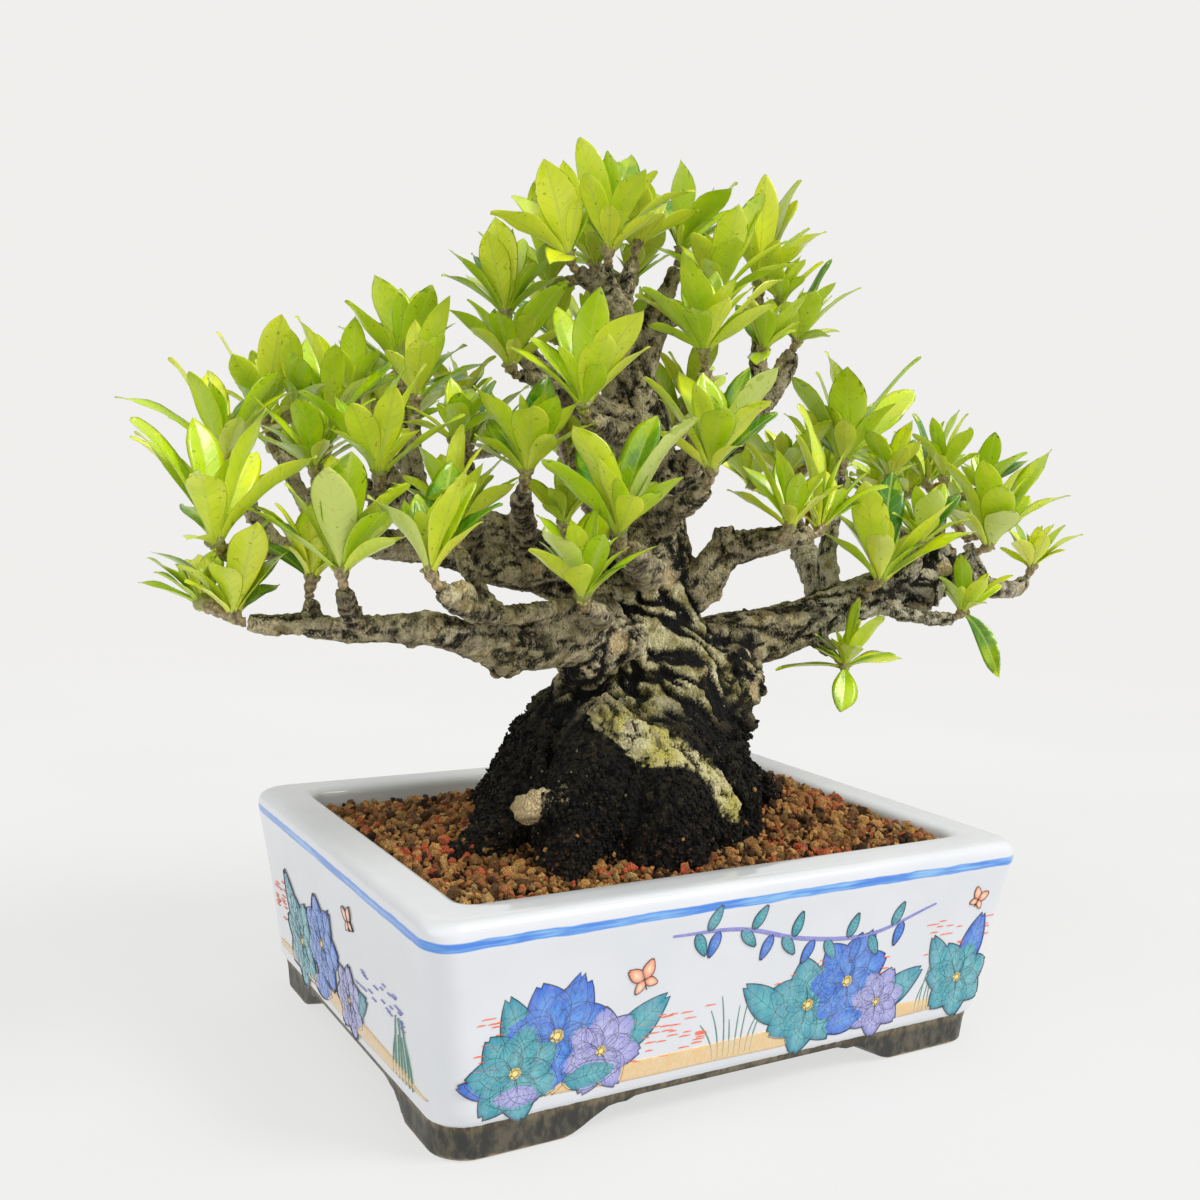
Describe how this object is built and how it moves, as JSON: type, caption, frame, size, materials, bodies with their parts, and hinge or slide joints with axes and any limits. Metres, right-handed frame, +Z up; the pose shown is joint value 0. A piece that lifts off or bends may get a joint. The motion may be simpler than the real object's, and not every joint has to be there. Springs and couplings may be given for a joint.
{
  "type": "gardenia bonsai in a pot",
  "caption": "Gardenia bonsai with a thick flared trunk, spreading limbs and glossy leaf sprays, standing in a rectangular white glazed porcelain pot on corner feet.",
  "frame": {"origin": "centre of the bounding box, at the table under the pot's feet", "axes": "+Z up; +X to the right along the pot's long side, seen from the front; the front faces -Y"},
  "size_m": [0.2792, 0.135, 0.2209],
  "materials": {
    "glaze": "glossy white glaze over porcelain, with a painted blue line and enamel flowers",
    "screen": "matt black mesh",
    "soil": "matt red-brown clay granules",
    "bark": "rough grey-brown bark with dark moss and pale lichen",
    "leaf": "waxy, glossy yellow-green above and paler below"
  },
  "bodies": {
    "root": {"pot": "glaze", "drain_screen_left": "screen", "drain_screen_right": "screen", "soil": "soil", "trunk_and_limbs": "bark", "spray_left_tip": "leaf", "spray_left_far": "leaf", "spray_left_crest": "leaf", "spray_left_low_end": "leaf", "spray_left_low_yellow": "leaf", "spray_left_low_front": "leaf", "spray_left_thin_end": "leaf", "spray_left_inner": "leaf", "spray_left_top": "leaf", "spray_left_mid": "leaf", "spray_left_peak": "leaf", "spray_left_rise": "leaf", "spray_left_small": "leaf", "spray_left_pale": "leaf", "spray_centre_upper": "leaf", "spray_centre_left": "leaf", "spray_centre_fork": "leaf", "spray_centre_front": "leaf", "spray_centre_low": "leaf", "spray_centre_lowest": "leaf", "spray_centre_sprout": "leaf", "spray_crown_left": "leaf", "spray_crown_tip": "leaf", "spray_crown_mid": "leaf", "spray_crown_right": "leaf", "spray_crown_front": "leaf", "spray_crown_low": "leaf", "spray_front_fork": "leaf", "spray_right_peak": "leaf", "spray_right_high": "leaf", "spray_right_low_high": "leaf", "spray_mid_right_left": "leaf", "spray_mid_right_tip": "leaf", "spray_right_tall": "leaf", "spray_right_inner": "leaf", "spray_right_burl_left": "leaf", "spray_right_crest_left": "leaf", "spray_right_crest": "leaf", "spray_right_burl_right": "leaf", "spray_right_tip": "leaf", "spray_right_under": "leaf", "spray_right_strap": "leaf", "spray_back_left_end": "leaf", "spray_back_left_mid": "leaf", "spray_back_left_inner": "leaf", "spray_back_end": "leaf", "spray_back_mid": "leaf", "spray_back_inner": "leaf", "spray_back_right_end": "leaf", "spray_back_right_mid": "leaf", "spray_back_right_burl": "leaf", "spray_back_right_tip": "leaf", "spray_back_high": "leaf", "spray_back_crown": "leaf"}
  },
  "joints": []
}
